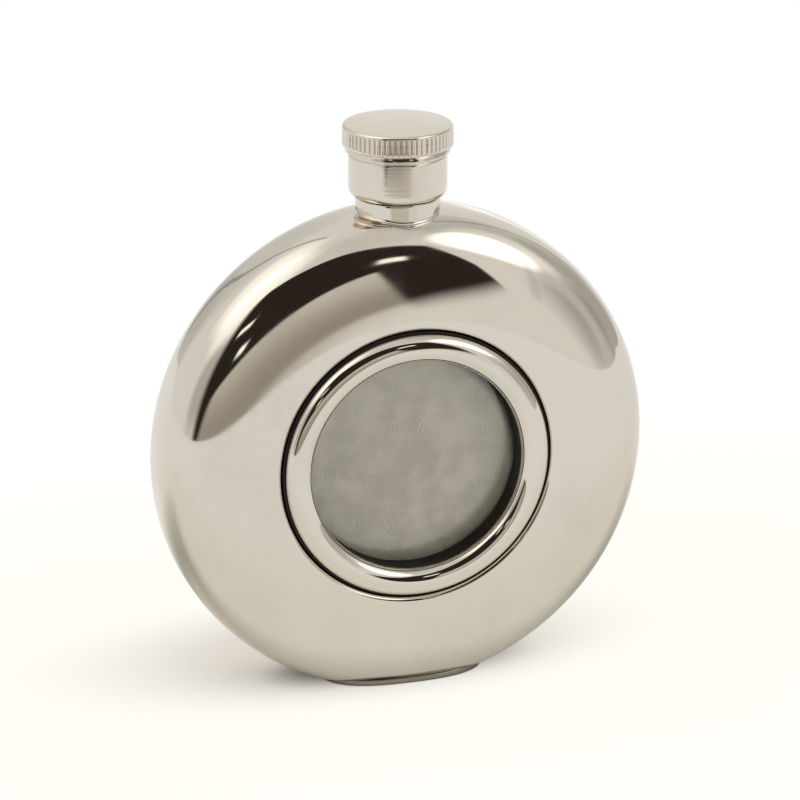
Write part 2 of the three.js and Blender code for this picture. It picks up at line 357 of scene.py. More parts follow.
class Wires:
    """Adds and links the nodes of one tree."""

    def __init__(self, tree: Tree) -> None:
        """Keeps the tree to work on."""
        self.tree = tree

    def feed(self, socket: Socket, value: object) -> None:
        """Links a socket to an input, or sets the input's value.

        Args:
            socket: Input to feed.
            value: Socket, number, vector or colour.
        """
        if isinstance(value, Socket):
            self.tree.links.new(value, socket)
        elif socket.type == "RGBA" and len(value) == 3:
            socket.default_value = (*value, 1)
        else:
            socket.default_value = value

    def add(self, kind: str, **inputs: object) -> bpy.types.Node:
        """Adds a node.

        Args:
            kind: Type name of the node.
            inputs: Values or sockets for its inputs, by name with _ for each space.

        Returns:
            The new node.
        """
        node = self.tree.nodes.new(kind)
        for name, value in inputs.items():
            self.feed(node.inputs[name.replace("_", " ")], value)
        return node

    def math(self, operation: str, first: Value, *others: Value) -> Socket:
        """Works out one number from one, two or more, from left to right.

        Args:
            operation: Name of the sum.
            first: First number.
            others: Further numbers.

        Returns:
            The socket with the result.
        """
        result = first
        for other in others or (0.0,):
            node = self.tree.nodes.new("ShaderNodeMath")
            node.operation = operation
            self.feed(node.inputs[0], result)
            self.feed(node.inputs[1], other)
            result = node.outputs[0]
        return result

    def vector(self, operation: str, *inputs: object) -> bpy.types.bpy_prop_collection:
        """Works on vectors.

        Args:
            operation: Name of the sum.
            inputs: Vectors or sockets, in order.

        Returns:
            The outputs, named Vector and Value.
        """
        node = self.tree.nodes.new("ShaderNodeVectorMath")
        node.operation = operation
        for socket, value in zip(node.inputs, inputs):
            self.feed(socket, value)
        return node.outputs

    def ramp(self, value: Value, limits: Point, results: tuple[Value, Value] = UNIT) -> Socket:
        """Eases a number from one range to another.

        Args:
            value: Number to read.
            limits: Where the ramp begins and ends.
            results: Results at its beginning and end.

        Returns:
            The socket with the result.
        """
        node = self.tree.nodes.new("ShaderNodeMapRange")
        node.interpolation_type = "SMOOTHSTEP"
        names = ("Value", "From Min", "From Max", "To Min", "To Max")
        for name, number in zip(names, (value, *limits, *results)):
            self.feed(node.inputs[name], number)
        return node.outputs["Result"]

    def blend(self, share: Value, first: object, second: object) -> Socket:
        """Mixes two colours.

        Args:
            share: How much of the second colour is taken.
            first: First colour.
            second: Second colour.

        Returns:
            The socket with the mixed colour.
        """
        node = self.tree.nodes.new("ShaderNodeMix")
        node.data_type = "RGBA"
        inputs = {socket.identifier: socket for socket in node.inputs}
        self.feed(inputs["Factor_Float"], share)
        self.feed(inputs["A_Color"], first)
        self.feed(inputs["B_Color"], second)
        return next(socket for socket in node.outputs if socket.identifier == "Result_Color")

    def noise(self, vector: Socket, spots: Value, detail: float) -> Socket:
        """Reads a cloudy noise at a place.

        Args:
            vector: Place to read.
            spots: Spots per metre.
            detail: How many finer layers are added.

        Returns:
            The socket with a number about 0.5.
        """
        return self.add("ShaderNodeTexNoise", Vector=vector, Scale=spots, Detail=detail).outputs["Fac"]

    def stretch(self, vector: Socket, scale: Triple, shift: Triple = (0, 0, 0)) -> Socket:
        """Scales a place along each axis and then shifts it.

        Args:
            vector: Place to read.
            scale: Stretch along each axis.
            shift: What is added to the stretched place, in metres.

        Returns:
            The socket with the new place.
        """
        return self.add("ShaderNodeMapping", Vector=vector, Location=shift, Scale=scale).outputs["Vector"]

    def reach(self, vector: Socket, scale: Triple, shift: Triple) -> Socket:
        """Measures how long a stretched and shifted place is from the origin."""
        return self.vector("LENGTH", self.stretch(vector, scale, shift))["Value"]


class Effect:
    """A surface effect that several finishes share: a node group with one output."""

    def __init__(self, name: str, output: str, **inputs: str) -> None:
        """Starts the group with its sockets.

        Args:
            name: Name of the group.
            output: Name of its output.
            inputs: Socket types by input name.
        """
        self.tree = bpy.data.node_groups.new(name, "ShaderNodeTree")
        for title, kind in inputs.items():
            self.tree.interface.new_socket(name=title, in_out="INPUT", socket_type=kind)
        self.tree.interface.new_socket(name=output, in_out="OUTPUT", socket_type="NodeSocketFloat")
        self.wires = Wires(self.tree)
        self.inputs = self.tree.nodes.new("NodeGroupInput").outputs
        self.output = self.tree.nodes.new("NodeGroupOutput").inputs[0]

    def finish(self, result: Socket) -> Tree:
        """Links the result to the output and hands the group over."""
        self.wires.feed(self.output, result)
        return self.tree


@dataclass
class Workshop:
    """The shared effects, made once and placed in each finish."""

    smudge_details: tuple[int, int] = (3, 5)
    smudge_fineness: float = 9
    smudge_limits: Point = (0.42, 0.72)
    speckle_limits: Point = (0.2, 0.7)
    speckle_levels: Point = (0.4, 1)
    buff_stretches: tuple[Triple, Triple] = ((0.06, 1, 1), (0.8, 1, 0.07))
    buff_detail: int = 2
    lathe_detail: float = 3
    lathe_roughness: float = 0.7
    handling: Tree = field(init=False)
    buffing: Tree = field(init=False)
    turning: Tree = field(init=False)

    def __post_init__(self) -> None:
        """Makes the effects."""
        self.handling = self.make_handling()
        self.buffing = self.make_buffing()
        self.turning = self.make_turning()

    def make_handling(self) -> Tree:
        """Builds soft smudges, as hands leave on polished metal, as a mask.

        Returns:
            The group.
        """
        effect = Effect("handling marks", "Mask", Vector="NodeSocketVector", Spots="NodeSocketFloat")
        wires = effect.wires
        place, spots = effect.inputs["Vector"], effect.inputs["Spots"]
        broad = wires.noise(place, spots, self.smudge_details[0])
        fine = wires.noise(place, wires.math("MULTIPLY", spots, self.smudge_fineness), self.smudge_details[1])
        cloud = wires.ramp(broad, self.smudge_limits)
        speckle = wires.ramp(fine, self.speckle_limits, self.speckle_levels)
        return effect.finish(wires.math("MULTIPLY", cloud, speckle))

    def make_buffing(self) -> Tree:
        """Builds hairlines of a polishing wheel, in two crossed directions, as a height.

        Returns:
            The group.
        """
        effect = Effect("buffing lines", "Height", Vector="NodeSocketVector", Lines="NodeSocketFloat")
        wires = effect.wires
        places = [wires.stretch(effect.inputs["Vector"], scale) for scale in self.buff_stretches]
        heights = [wires.noise(place, effect.inputs["Lines"], self.buff_detail) for place in places]
        return effect.finish(wires.math("ADD", *heights))

    def make_turning(self) -> Tree:
        """Builds the fine steps that a turning tool leaves along a distance, as a height.

        Returns:
            The group.
        """
        effect = Effect("turning lines", "Height", Distance="NodeSocketFloat", Lines="NodeSocketFloat")
        lines = effect.wires.add(
            "ShaderNodeTexNoise", Detail=self.lathe_detail, Roughness=self.lathe_roughness
        )
        lines.noise_dimensions = "1D"
        effect.wires.feed(lines.inputs["W"], effect.inputs["Distance"])
        effect.wires.feed(lines.inputs["Scale"], effect.inputs["Lines"])
        return effect.finish(lines.outputs["Fac"])


class Sheet:
    """One material under construction: its shader, its wires and its Object coordinates."""

    def __init__(self, name: str) -> None:
        """Starts a material with a bare Principled shader.

        Args:
            name: Name of the material.
        """
        self.material = bpy.data.materials.new(name)
        self.material.use_nodes = True
        tree = self.material.node_tree
        self.wires = Wires(tree)
        self.shader = next(node for node in tree.nodes if node.type == "BSDF_PRINCIPLED")
        self.output = next(node for node in tree.nodes if node.type == "OUTPUT_MATERIAL")
        self.place = tree.nodes.new("ShaderNodeTexCoord").outputs["Object"]

    def put(self, **inputs: object) -> None:
        """Sets or links inputs of the shader, by name with _ for each space."""
        for name, value in inputs.items():
            self.wires.feed(self.shader.inputs[name.replace("_", " ")], value)

    def effect(self, group: Tree, **inputs: object) -> Socket:
        """Places a shared effect.

        Args:
            group: Group of the effect.
            inputs: Values or sockets for the group's inputs.

        Returns:
            The group's one output.
        """
        node = self.wires.tree.nodes.new("ShaderNodeGroup")
        node.node_tree = group
        for name, value in inputs.items():
            self.wires.feed(node.inputs[name], value)
        return node.outputs[0]

    def bump(self, height: Socket, depth: float, below: Optional[Socket] = None) -> Socket:
        """Turns a height into a normal.

        Args:
            height: Height pattern.
            depth: Height of one unit, in metres.
            below: Normal of a coarser bump that this one lies on.

        Returns:
            The normal.
        """
        node = self.wires.add("ShaderNodeBump", Height=height, Distance=depth, Strength=1.0)
        if below is not None:
            self.wires.feed(node.inputs["Normal"], below)
        return node.outputs["Normal"]

    def axis(self, index: int) -> Socket:
        """Reads one Object coordinate."""
        return self.wires.add("ShaderNodeSeparateXYZ", Vector=self.place).outputs[index]

    def radius(self, aside: Triple = (0, 0, 0)) -> Socket:
        """Reads the distance from the window's axis, or from a line beside it.

        Args:
            aside: Place of the line, from the window's axis, in millimetres.

        Returns:
            The distance in metres.
        """
        centre = (Vector((0, 0, WINDOW_HEIGHT)) + Vector(aside)) * MM
        return self.wires.reach(self.place, (1, 0, 1), -centre)


@dataclass(frozen=True)
class Finish:
    """A surface with handling marks, which each kind of finish uses in its own way."""

    name: str
    tint: Colour
    marks: float = field(default=55, kw_only=True)

    def build(self, shop: Workshop) -> Material:
        """Makes the material.

        Args:
            shop: The shared effects.

        Returns:
            The finished material.
        """
        sheet = Sheet(self.name)
        smudges = sheet.effect(shop.handling, Vector=sheet.place, Spots=self.marks)
        self.spread(sheet, shop, smudges)
        return sheet.material

    def spread(self, sheet: Sheet, shop: Workshop, smudges: Socket) -> None:
        """Sets the shader's inputs.

        Args:
            sheet: Sheet of the material.
            shop: The shared effects.
            smudges: Mask of the handling marks.
        """
        raise NotImplementedError


@dataclass(frozen=True)
class SteelFinish(Finish):
    """Bare stainless steel, warm and pale, with haze and worked lines."""

    gloss: float
    haze: float
    grain: Grain = Grain.BUFFED
    lines: float = 2500
    depth: float = 2e-7
    ripple: float = 0.0
    ripple_spots: float = 38
    ripple_detail: int = 1
    worn: float = 0.93

    def spread(self, sheet: Sheet, shop: Workshop, smudges: Socket) -> None:
        """Works the metal and hazes it where it was handled.

        Args:
            sheet: Sheet of the material.
            shop: The shared effects.
            smudges: Mask of the handling marks.
        """
        wires = sheet.wires
        if self.grain is Grain.BUFFED:
            lines = sheet.effect(shop.buffing, Vector=sheet.place, Lines=self.lines)
        else:
            distance = sheet.axis(2) if self.grain is Grain.TURNED else sheet.radius()
            lines = sheet.effect(shop.turning, Distance=distance, Lines=self.lines)
        normal = None
        if self.ripple:
            normal = sheet.bump(wires.noise(sheet.place, self.ripple_spots, self.ripple_detail), self.ripple)
        sheet.put(
            Base_Color=wires.blend(smudges, self.tint, toned(self.tint, self.worn)),
            Metallic=1.0,
            Roughness=wires.ramp(smudges, UNIT, (self.gloss, self.haze)),
            Normal=sheet.bump(lines, self.depth, normal),
        )


@dataclass(frozen=True)
class EngineTurned(Finish):
    """Bare satin plate with rows of swirls from a small rotating pad, with painted light across it and a
    painted shade at its rim.
    """

    shade: Colour
    gloss: float = 0.45
    haze: float = 0.57
    sheen: float = 0.2
    pads: float = 165
    pad_scatter: float = 0.4
    pad_fade: Point = (0, 1.2)
    rings: float = 2200
    ring_depth: float = 3e-6
    clouds: float = 190
    cloud_detail: int = 3
    cloud_limits: Point = (0.3, 0.7)
    cloud_share: float = 0.6
    swirl_share: float = 0.25
    tone_limits: Point = (-0.1, 0.7)
    # Painted light: a tone that darkens the plate near this centre and lightens it outwards.
    painted_light_centre: Triple = (-4, 0, -4)
    painted_light_limits: Point = (4, 22)
    painted_light_tones: Point = (0.2, -0.3)
    # Painted shade: the plate's colour turns nearly black towards its rim, around a centre set low and left.
    rim_shade_centre: Triple = (-2.5, 0, -2.5)
    rim_shade_limits: Point = (21.9, 24)
    rim_shade_level: float = 0.09

    def swirls(self, sheet: Sheet, flat: Socket) -> Socket:
        """Draws the pad's rings, which show on one side of each pad only.

        Args:
            sheet: Sheet of the material.
            flat: Place on the plate.

        Returns:
            The rings as a height.
        """
        wires = sheet.wires
        pads = wires.add("ShaderNodeTexVoronoi", Vector=flat, Scale=self.pads, Randomness=self.pad_scatter)
        phase = wires.math("MULTIPLY", pads.outputs["Distance"], self.rings / self.pads, TAU)
        ring = wires.math("SINE", phase)
        centre = wires.add("ShaderNodeSeparateXYZ", Vector=pads.outputs["Position"]).outputs[0]
        beside = wires.math("SUBTRACT", sheet.axis(0), centre)
        return wires.math("MULTIPLY", ring, wires.ramp(beside, metres(self.pad_fade)))

    def spread(self, sheet: Sheet, shop: Workshop, smudges: Socket) -> None:
        """Lays swirls and clouds over the plate, paints light that makes it lighter to the upper right, and
        paints shade on its rim.

        Args:
            sheet: Sheet of the material.
            shop: The shared effects.
            smudges: Mask of the handling marks.
        """
        wires = sheet.wires
        flat = wires.stretch(sheet.place, (1, 0, 1))
        swirl = self.swirls(sheet, flat)
        cloud = wires.ramp(wires.noise(flat, self.clouds, self.cloud_detail), self.cloud_limits)
        # Painted light: the plate's colour is darker near a point low and left of its middle and lighter
        # outwards, most towards the upper right.
        painted_light = wires.ramp(sheet.radius(self.painted_light_centre), metres(self.painted_light_limits), self.painted_light_tones)
        mottle = wires.math("MULTIPLY", cloud, self.cloud_share)
        tone = wires.math("ADD", mottle, wires.math("MULTIPLY", swirl, self.swirl_share), painted_light)
        metal = wires.blend(wires.ramp(tone, self.tone_limits), self.tint, self.shade)
        # Painted shade at the rim, where the gasket and bezel shade the plate.
        rim = wires.ramp(sheet.radius(self.rim_shade_centre), metres(self.rim_shade_limits))
        sheet.put(
            Base_Color=wires.blend(rim, metal, toned(self.shade, self.rim_shade_level)),
            Metallic=self.sheen,
            Roughness=wires.ramp(smudges, UNIT, (self.gloss, self.haze)),
            Normal=sheet.bump(swirl, self.ring_depth),
        )


@dataclass(frozen=True)
class ClearGlass(Finish):
    """Float glass with a faint green tint and a trace of haze."""

    haze: float = 0.03
    index: float = 1.5
    worn: float = 0.985

    def spread(self, sheet: Sheet, shop: Workshop, smudges: Socket) -> None:
        """Lets the light through and hazes the glass where it was handled.

        Args:
            sheet: Sheet of the material.
            shop: The shared effects.
            smudges: Mask of the handling marks.
        """
        wires = sheet.wires
        sheet.put(
            Base_Color=wires.blend(smudges, self.tint, toned(self.tint, self.worn)),
            Roughness=wires.ramp(smudges, UNIT, (0, self.haze)),
            Transmission_Weight=1.0,
            IOR=self.index,
        )


@dataclass(frozen=True)
class MouldedFinish(Finish):
    """Moulded rubber, silicone or plastic with a fine skin."""

    shade: Colour
    gloss: float
    haze: float
    skin: float = 4e-6
    skin_spots: float = 2200
    skin_detail: int = 2
    shine: float = 0.5

    def spread(self, sheet: Sheet, shop: Workshop, smudges: Socket) -> None:
        """Grains the skin and shades it where it was handled.

        Args:
            sheet: Sheet of the material.
            shop: The shared effects.
            smudges: Mask of the handling marks.
        """
        wires = sheet.wires
        grain = wires.noise(sheet.place, self.skin_spots, self.skin_detail)
        sheet.put(
            Base_Color=wires.blend(smudges, self.tint, self.shade),
            Roughness=wires.ramp(smudges, UNIT, (self.gloss, self.haze)),
            Specular_IOR_Level=self.shine,
            Normal=sheet.bump(grain, self.skin),
        )


STEEL: Colour = (0.70, 0.648, 0.568)
BLACK: Colour = (0.012, 0.010, 0.009)
FINISHES: tuple[Finish, ...] = (
    SteelFinish("polished_steel", STEEL, 0.04, 0.08, ripple=6e-6),
    # The foot's dark tint is painted shade, for the floor and contact shadow that the foot reflects.
    SteelFinish("foot_steel", (0.31, 0.285, 0.24), 0.16, 0.32, depth=1e-6),
    SteelFinish("neck_steel", STEEL, 0.14, 0.24, Grain.TURNED, 3000, 2e-6),
    SteelFinish("cap_steel", (0.715, 0.655, 0.57), 0.1, 0.17, Grain.TURNED, 1500, 8e-6),
    SteelFinish("well_steel", (0.62, 0.58, 0.51), 0.3, 0.45, Grain.SPUN, 1800, 2e-6),
    EngineTurned("plate_satin", (0.95, 0.894, 0.72), (0.73, 0.675, 0.544), marks=90),
    ClearGlass("window_glass", (0.99, 0.993, 0.985), marks=120),
    MouldedFinish("gasket_rubber", BLACK, (0.018, 0.016, 0.014), 0.5, 0.65, shine=0.2, marks=140),
    MouldedFinish("liner_plastic", (0.80, 0.79, 0.74), (0.72, 0.70, 0.64), 0.35, 0.5, marks=140),
    MouldedFinish("seal_silicone", (0.70, 0.67, 0.60), (0.62, 0.59, 0.52), 0.5, 0.7, marks=140),
)


@dataclass
class Assembly:
    """A group of pieces that share a CAD body."""

    materials: dict[str, Material]
    body: str = "flask"

    def dress(self, piece: Piece, slot: str, *nodes: str) -> None:
        """Finishes a piece, seats it on its body and lets it stand for its CAD nodes.

        Args:
            piece: Finished mesh.
            slot: Material slot of the record.
            nodes: CAD nodes that the piece stands for.
        """
        Bench.smooth(piece)
        piece.data.materials.clear()
        piece.data.materials.append(self.materials[slot])
        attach(piece, self.body)
        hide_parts(*nodes)
        LOG.info("%s: %d faces, %s", piece.name, len(piece.data.polygons), slot)


@dataclass
class Body(Assembly):
    """The two pressed half shells and the foot, a rounded oblong plate."""

    radius: float = span("back_shell", 0)[1]
    shoulder_start: float = 25
    shoulder_depth: float = 12.2
    shoulder_power: float = 3
    shoulder_steps: int = 84
    crown: float = 0.4
    wall: float = 0.7
    lip_radius: float = 26.25
    lip_round: float = 1
    lip_depth: float = 4
    foot_top: float = span("base_plate", 2)[1]
    foot_half_length: float = 15.7
    foot_inset: float = 0.1
    foot_half_depth: float = span("base_plate", 1)[1] - foot_inset
    foot_power: float = 2.6
    foot_edge: float = 0.14
    foot_edge_steps: int = 3
    neck_hole: float = span("neck_tube", 0)[1] + FIT_GAP
    neck_hole_depth: float = radius / 4
    neck_hole_sides: int = 96
    sides: int = 288
    face_steps: int = 26

    def depth(self, radius: float, inset: float) -> float:
        """Works out how far the skin lies from the mid-plane.

        Args:
            radius: Distance from the window's axis.
            inset: How far the skin is drawn in from the outside.

        Returns:
            The depth.
        """
        rim = self.radius - inset
        reach = max(0, (radius - self.shoulder_start) / (rim - self.shoulder_start))
        share = max(0, 1 - reach**self.shoulder_power)
        crown = self.crown * (1 - (radius / rim) ** 2)
        return (self.shoulder_depth - inset) * share ** (1 / self.shoulder_power) + crown

    def skin(self, start: float, inset: float) -> Profile:
        """Draws the skin from a radius on the face out to the rim.

        Args:
            start: Radius where the line begins.
            inset: How far the skin is drawn in from the outside.

        Returns:
            Points of radius and depth.
        """
        rim = self.radius - inset
        reach = rim - self.shoulder_start
        bend = max(start, self.shoulder_start)
        first = math.asin(((bend - self.shoulder_start) / reach) ** (self.shoulder_power / 2))
        radii = []
        if start < bend:
            radii = [start + (bend - start) * step / self.face_steps for step in range(self.face_steps)]
        for step in range(self.shoulder_steps):
            angle = first + (math.pi / 2 - first) * step / self.shoulder_steps
            radii.append(self.shoulder_start + reach * math.sin(angle) ** (2 / self.shoulder_power))
        return [(radius, self.depth(radius, inset)) for radius in radii] + [(rim, 0)]

    def outline(self) -> Piece:
        """Makes the whole body's solid outline, as a shape to fit pieces to."""
        skin = self.skin(0, 0)
        return Bench.turn("outline", flipped(skin) + skin[-2::-1], Spindle.WINDOW, self.sides)

    def press(self, name: str, profile: Profile) -> Piece:
        """Presses a half shell, slices it flat for the foot and drills it for the neck.

        Args:
            name: Name of the new piece.
            profile: Outline of its wall.

        Returns:
            The finished shell.
        """
        shell = Bench.turn(name, profile, Spindle.WINDOW, self.sides)
        Bench.pick(shell, lambda place: True)
        cut = Vector((0, 0, self.foot_top * MM))
        bpy.ops.mesh.bisect(plane_co=cut, plane_no=(0, 0, 1), use_fill=True, clear_inner=True)
        Bench.close(shell)
        drill = Bench.add(
            bpy.ops.mesh.primitive_cylinder_add,
            vertices=self.neck_hole_sides,
            radius=self.neck_hole * MM,
            depth=self.neck_hole_depth * MM,
            location=(0, 0, (WINDOW_HEIGHT + self.radius) * MM),
        )
        Bench.combine(shell, drill, "DIFFERENCE")
        return shell

    def front_shell(self) -> Piece:
        """Presses the front half, with a rolled lip that turns in round the window.

        Returns:
            The new piece.
        """
        start = self.lip_radius + self.lip_round
        face = -self.depth(start, 0)
        roll = (start, face + self.lip_round)
        inside = max(0, self.lip_round - self.wall)
        end = face + self.lip_depth
        profile = flipped(self.skin(start, 0))[::-1]
        profile += arc(roll, self.lip_round, Quarter.AGAINST, Quarter.IN, steps=12)[1:]
        profile += [(self.lip_radius, end), (self.lip_radius + self.wall, end), (start - inside, roll[1])]
        profile += flipped(self.skin(start, self.wall))
        return self.press("body_front", profile)

    def back_shell(self) -> Piece:
        """Presses the plain back half."""
        return self.press("body_back", self.skin(0, 0) + self.skin(0, self.wall)[::-1])

    def foot(self) -> Piece:
        """Cuts the thin foot plate, a rounded oblong, and breaks its edges.

        Returns:
            The new piece.
        """
        power = 2 / self.foot_power
        profile = []
        for across, along in arc((0, 0), 1, Quarter.OUT, Quarter.ROUND, self.sides)[:-1]:
            length = math.copysign(abs(across) ** power, across) * self.foot_half_length
            profile.append((length, math.copysign(abs(along) ** power, along) * self.foot_half_depth))
        foot = Bench.draw("foot", profile, Spindle.WINDOW)
        bpy.ops.transform.translate(value=(0, 0, -WINDOW_HEIGHT * MM))
        bpy.ops.mesh.edge_face_add()
        bpy.ops.mesh.extrude_region_move(TRANSFORM_OT_translate={"value": (0, 0, self.foot_top * MM)})
        bpy.ops.object.mode_set(mode="OBJECT")
        for edge in foot.data.edges:
            low, high = sorted(foot.data.vertices[index].co.z for index in edge.vertices)
            edge.select = high - low < MERGE_DISTANCE
        bpy.ops.object.mode_set(mode="EDIT")
        bpy.ops.mesh.select_mode(type="EDGE")
        bpy.ops.mesh.bevel(offset=self.foot_edge * MM, segments=self.foot_edge_steps)
        Bench.close(foot)
        return foot

    def build(self) -> None:
        """Makes and dresses the shells and the foot."""
        self.dress(self.front_shell(), "polished_steel", "front_shell")
        self.dress(self.back_shell(), "polished_steel", "back_shell")
        self.dress(self.foot(), "foot_steel", "base_plate")


@dataclass
class Window(Assembly):
    """Bezel, gasket, glass and plate in the recess of the front."""

    opening: float = 20.55
    bezel_radius: float = span("window_bezel", 0)[1]
    bezel_crown: float = 1.75
    bezel_base: float = 0.35
    tongue_width: float = 0.8
    tongue_end: float = span("window_bezel", 1)[1]
    gasket_radius: float = span("window_gasket", 0)[1]
    gasket_flange: float = 1.2
    gasket_flare: float = 0.25
    gasket_foot: float = 0.2
    seat: float = span("window_gasket", 1)[0]
    glass_radius: float = span("window_glass", 0)[1]
    glass_front: float = span("window_glass", 1)[0]
    glass_thinned: float = 0.9
    glass_back: float = span("window_glass", 1)[1] - glass_thinned
    glass_edge: float = 0.3
    glass_gap: float = 0.04
    plate_radius: float = span("backing_plate", 0)[1]
    plate_back: float = span("backing_plate", 1)[1]
    plate_edge: float = 0.12
    sides: int = 240

    @property
    def middle(self) -> float:
        """Gives the radius of the bezel's crest."""
        return (self.opening + self.bezel_radius) / 2

    def bezel(self) -> Piece:
        """Turns the half-round ring with the tongue that holds it in the gasket.

        Returns:
            The new piece.
        """
        crest = (self.middle, self.seat - self.bezel_base)
        half = (self.bezel_radius - self.opening) / 2
        inner, outer = self.middle - self.tongue_width / 2, self.middle + self.tongue_width / 2
        profile = arc(crest, (half, self.bezel_crown), Quarter.ROUND, Quarter.IN, steps=56)
        profile += [(self.opening, self.seat), (inner, self.seat), (inner, self.tongue_end)]
        profile += [(outer, self.tongue_end), (outer, self.seat), (self.bezel_radius, self.seat)]
        return Bench.turn("bezel", profile, Spindle.WINDOW, self.sides)

    def gasket(self) -> Piece:
        """Moulds the black sleeve with its flange, slot and rounded foot.

        Returns:
            The new piece.
        """
        waist = self.opening + self.gasket_flare
        slot = self.tongue_width / 2 + FIT_GAP
        inner, outer = self.middle - slot, self.middle + slot
        floor = self.tongue_end + FIT_GAP
        foot = (waist - self.gasket_foot, self.glass_front - self.gasket_foot)
        rim = self.seat + self.gasket_flange
        profile = [(self.opening, self.seat)]
        profile += arc(foot, self.gasket_foot, Quarter.OUT, Quarter.ALONG, steps=10)
        profile += [(self.glass_radius, self.glass_front), (self.glass_radius, rim)]
        profile += [(self.gasket_radius, rim), (self.gasket_radius, self.seat)]
        profile += [(outer, self.seat), (outer, floor), (inner, floor), (inner, self.seat)]
        return Bench.turn("gasket", profile, Spindle.WINDOW, self.sides)

    def disc(self, name: str, radius: float, front: float, back: float, edge: float) -> Piece:
        """Turns a flat disc with chamfered edges.

        Args:
            name: Name of the new piece.
            radius: Radius of the disc.
            front: Place of its front along the window's axis.
            back: Place of its back.
            edge: Width of the chamfers.

        Returns:
            The new piece.
        """
        profile = [(0, front), (radius - edge, front), (radius, front + edge)]
        profile += [(radius, back - edge), (radius - edge, back), (0, back)]
        return Bench.turn(name, profile, Spindle.WINDOW, self.sides)

    def glass(self) -> Piece:
        """Grinds the glass disc."""
        front, back = self.glass_front + self.glass_gap, self.glass_back - self.glass_gap
        return self.disc("glass_disc", self.glass_radius, front, back, self.glass_edge)

    def plate(self) -> Piece:
        """Turns the bare plate behind the glass."""
        return self.disc(
            "backing_disc", self.plate_radius, self.glass_back, self.plate_back, self.plate_edge
        )

    def build(self) -> None:
        """Makes and dresses the stack, and gives the hidden well its metal."""
        self.dress(self.bezel(), "polished_steel", "window_bezel")
        self.dress(self.gasket(), "gasket_rubber", "window_gasket")
        self.dress(self.glass(), "window_glass", "window_glass")
        self.dress(self.plate(), "plate_satin", "backing_plate")
        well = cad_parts["window_well"]
        well.data.materials.clear()
        well.data.materials.append(self.materials["well_steel"])
        LOG.info("window_well: CAD solid, well_steel")


@dataclass
class Thread:
    """A right-handed screw thread about the neck's axis."""

    root: float
    crest: float
    bottom: float
    turns: float
    pitch: float = 2.4
    width: float = 1.3
    flat: float = 0.3
    steps: int = 72
    run_out: int = 10
    ring_share: float = 0.6

    def build(self, name: str) -> Piece:
        """Winds a trapezoid along the helix and lets both ends run out into the wall.

        Args:
            name: Name of the new piece.

        Returns:
            The closed thread, in object mode.
        """
        half, flat = self.width / 2, self.flat / 2
        profile = [(self.root, self.bottom - half), (self.crest, self.bottom - flat)]
        profile += [(self.crest, self.bottom + flat), (self.root, self.bottom + half)]
        thread = Bench.draw(name, profile + profile[:1], Spindle.NECK)
        Bench.close(thread)
        count = round(self.steps * self.turns)
        Bench.modify(
            thread,
            "SCREW",
            angle=TAU * self.turns,
            screw_offset=self.pitch * self.turns * MM,
            steps=count,
            render_steps=count,
            use_smooth_shade=False,
        )
        bpy.ops.object.mode_set(mode="EDIT")
        bpy.ops.mesh.select_all(action="SELECT")
        bpy.ops.mesh.fill_holes(sides=0)
        Bench.close(thread)
        for ring in range(self.run_out):
            share = ring / self.run_out
            sunk = (self.root + (self.crest - self.root) * share) / self.crest
            for step in (ring, count - ring):
                self.sink(thread, step / count, sunk)
        return thread

    def sink(self, thread: Piece, share: float, scale: float) -> None:
        """Draws one ring of the thread's points towards its wall.

        Args:
            thread: The wound thread.
            share: Where the ring is, from 0 at the bottom to 1 at the top.
            scale: How far the ring's points are drawn in or out.
        """
        angle = TAU * self.turns * share
        height = (self.bottom + self.pitch * self.turns * share) * MM
        ray = Vector((math.cos(angle), math.sin(angle), 0))
        reach = self.width * self.ring_share * MM
        side = math.sin(TAU / self.steps / 2) * self.crest * MM

        def on_ring(place: Vector) -> bool:
            """Tells whether a point belongs to the ring.

            Args:
                place: Place of the point, in metres.

            Returns:
                True for a point of the ring.
            """
            along = place.dot(ray)
            off = (place - ray * along).to_2d().length
            return abs(place.z - height) < reach and along > 0 and off < side

        Bench.pick(thread, on_ring)
        Bench.scale((scale, scale, 1), (0, 0, height))


